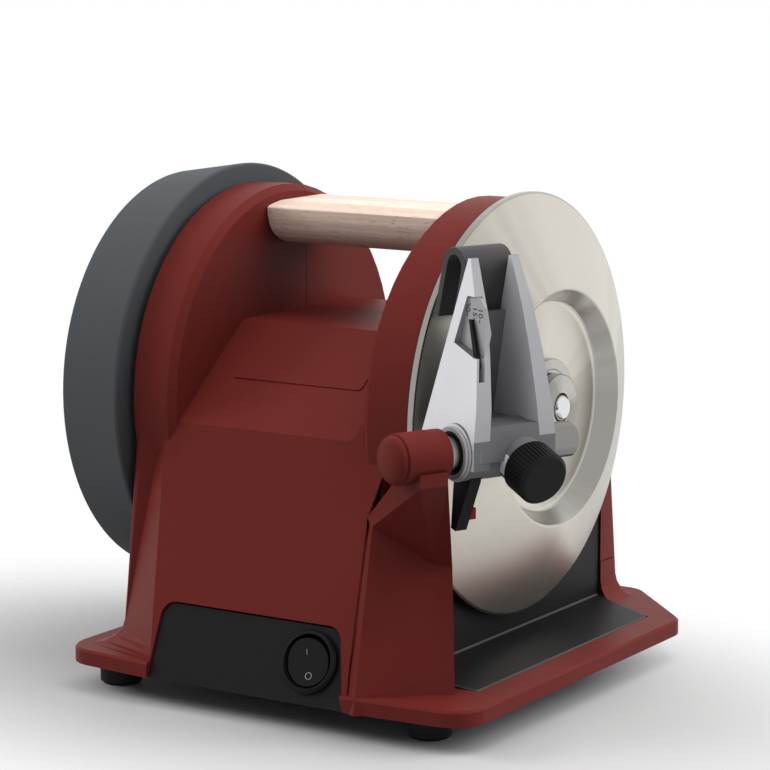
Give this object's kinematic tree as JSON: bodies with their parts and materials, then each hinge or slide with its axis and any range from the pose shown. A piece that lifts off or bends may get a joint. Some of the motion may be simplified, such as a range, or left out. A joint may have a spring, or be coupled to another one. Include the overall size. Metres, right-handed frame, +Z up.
{
  "type": "electric knife sharpener",
  "caption": "Electric knife sharpener: moulded housing, steel grinding wheel, honing wheel, tilting knife guide on a bar, wooden carrying handle and rocker switch.",
  "frame": {"origin": "middle of the footprint of the whole object, on the surface that the feet stand on", "axes": "+X along the wheel axle toward the grinding wheel, +Y toward the rear, +Z up"},
  "size_m": [0.2014, 0.1988, 0.1794],
  "materials": {
    "red_shell": "fine moulded grain, satin dark red",
    "dark_plastic": "moulded, near black",
    "gloss_black": "glossy black",
    "black_rubber": "matt",
    "beech": "light beech, oiled",
    "ground_steel": "turned and ground round the axle",
    "polished_steel": "polished",
    "zinc_steel": "zinc plated",
    "cast_aluminium": "die cast, blasted",
    "honing_composite": "dense dark grey honing composite",
    "copper_winding": "lacquered copper winding",
    "red_tip": "bright red"
  },
  "bodies": {
    "base": {"front_shell": "red_shell", "rear_shell": "red_shell", "base_plate": "dark_plastic", "side_tray": "dark_plastic", "switch_panel": "dark_plastic", "handle": "beech", "handle_screw_left": "zinc_steel", "handle_screw_right": "zinc_steel", "cable_gland": "black_rubber", "foot_front_left": "black_rubber", "foot_front_right": "black_rubber", "foot_rear_left": "black_rubber", "foot_rear_right": "black_rubber", "rocker_bezel": "gloss_black", "bearing_left": "polished_steel", "bearing_right": "polished_steel", "drive_frame": "zinc_steel", "motor_stator": "zinc_steel", "coil_left": "copper_winding", "coil_right": "copper_winding", "capacitor": "zinc_steel", "support_bar": "polished_steel", "bar_plug": "red_shell"},
    "wheel_set": {"grinding_wheel": "ground_steel", "clamp_disc": "ground_steel", "clamp_nut": "ground_steel", "drive_shaft": "polished_steel", "honing_wheel": "honing_composite", "honing_nut": "zinc_steel", "drive_gear": "dark_plastic"},
    "motor": {"motor_rotor": "zinc_steel", "cooling_fan": "dark_plastic"},
    "slider": {"angle_stop": "dark_plastic", "stop_tip": "red_tip"},
    "guide": {"guide_body": "cast_aluminium", "jaw_liner": "black_rubber"},
    "knob": {"angle_knob": "dark_plastic"},
    "rocker": {"rocker_button": "gloss_black"}
  },
  "joints": [
    {"name": "wheel_spin", "type": "hinge", "parent": "base", "child": "wheel_set", "pos_m": [-0.00941, 0.00937, 0.1], "axis": [1, 0, 0], "continuous": true},
    {"name": "motor_spin", "type": "hinge", "parent": "base", "child": "motor", "pos_m": [-0.00941, 0.00937, 0.051], "axis": [1, 0, 0], "continuous": true},
    {"name": "guide_slide", "type": "slide", "parent": "base", "child": "slider", "axis": [0.4044, 0.9146, 0], "range_m": [-0.0005, 0.012]},
    {"name": "guide_tilt", "type": "hinge", "parent": "slider", "child": "guide", "pos_m": [0.08607, -0.03285, 0.0979], "axis": [0.4044, 0.9146, 0], "range_deg": [-5.5, 2.5]},
    {"name": "knob_turn", "type": "hinge", "parent": "guide", "child": "knob", "pos_m": [0.07653, -0.05444, 0.0979], "axis": [0.8595, -0.38, -0.342], "range_deg": [0, 360]},
    {"name": "switch_rock", "type": "hinge", "parent": "base", "child": "rocker", "pos_m": [0.01959, -0.08529, 0.02329], "axis": [1, 0, 0], "range_deg": [-14, 0]}
  ],
  "couplings": [
    {"joint": "motor_spin", "follows": "wheel_spin", "ratio": -6}
  ]
}
